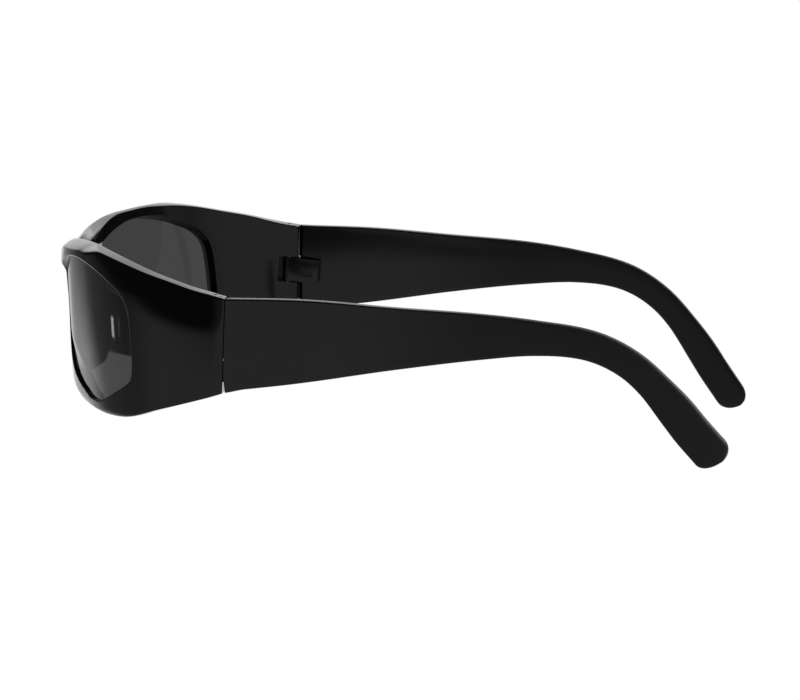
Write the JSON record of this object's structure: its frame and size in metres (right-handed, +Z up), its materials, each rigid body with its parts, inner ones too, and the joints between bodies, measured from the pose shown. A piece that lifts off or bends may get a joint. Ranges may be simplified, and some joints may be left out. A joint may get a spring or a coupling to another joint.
{
  "type": "wraparound sunglasses",
  "caption": "Wraparound sunglasses with a deep moulded front, grooved lenses and wide temples that fold on pins.",
  "frame": {"origin": "centre of the open glasses' outline, on the surface they stand on", "axes": "+X to the wearer's left, +Y to the wearer's rear along the temples, +Z up"},
  "size_m": [0.1366, 0.1709, 0.0391],
  "materials": {
    "front": "gloss black",
    "temple": "satin to gloss black",
    "lens": "smoke tint, polished",
    "pin": "dark"
  },
  "bodies": {
    "front": {"front_frame": "front", "lens_left": "lens", "lens_right": "lens", "hinge_pin_left": "pin", "hinge_pin_right": "pin"},
    "left_temple": {"temple_left": "temple"},
    "right_temple": {"temple_right": "temple"}
  },
  "joints": [
    {"name": "left_temple_fold", "type": "hinge", "parent": "front", "child": "left_temple", "pos_m": [0.0637, -0.03745, 0.0221], "axis": [0, 0, 1], "range_deg": [0, 82]},
    {"name": "right_temple_fold", "type": "hinge", "parent": "front", "child": "right_temple", "pos_m": [-0.0637, -0.03745, 0.0221], "axis": [0, 0, -1], "range_deg": [0, 72]}
  ]
}
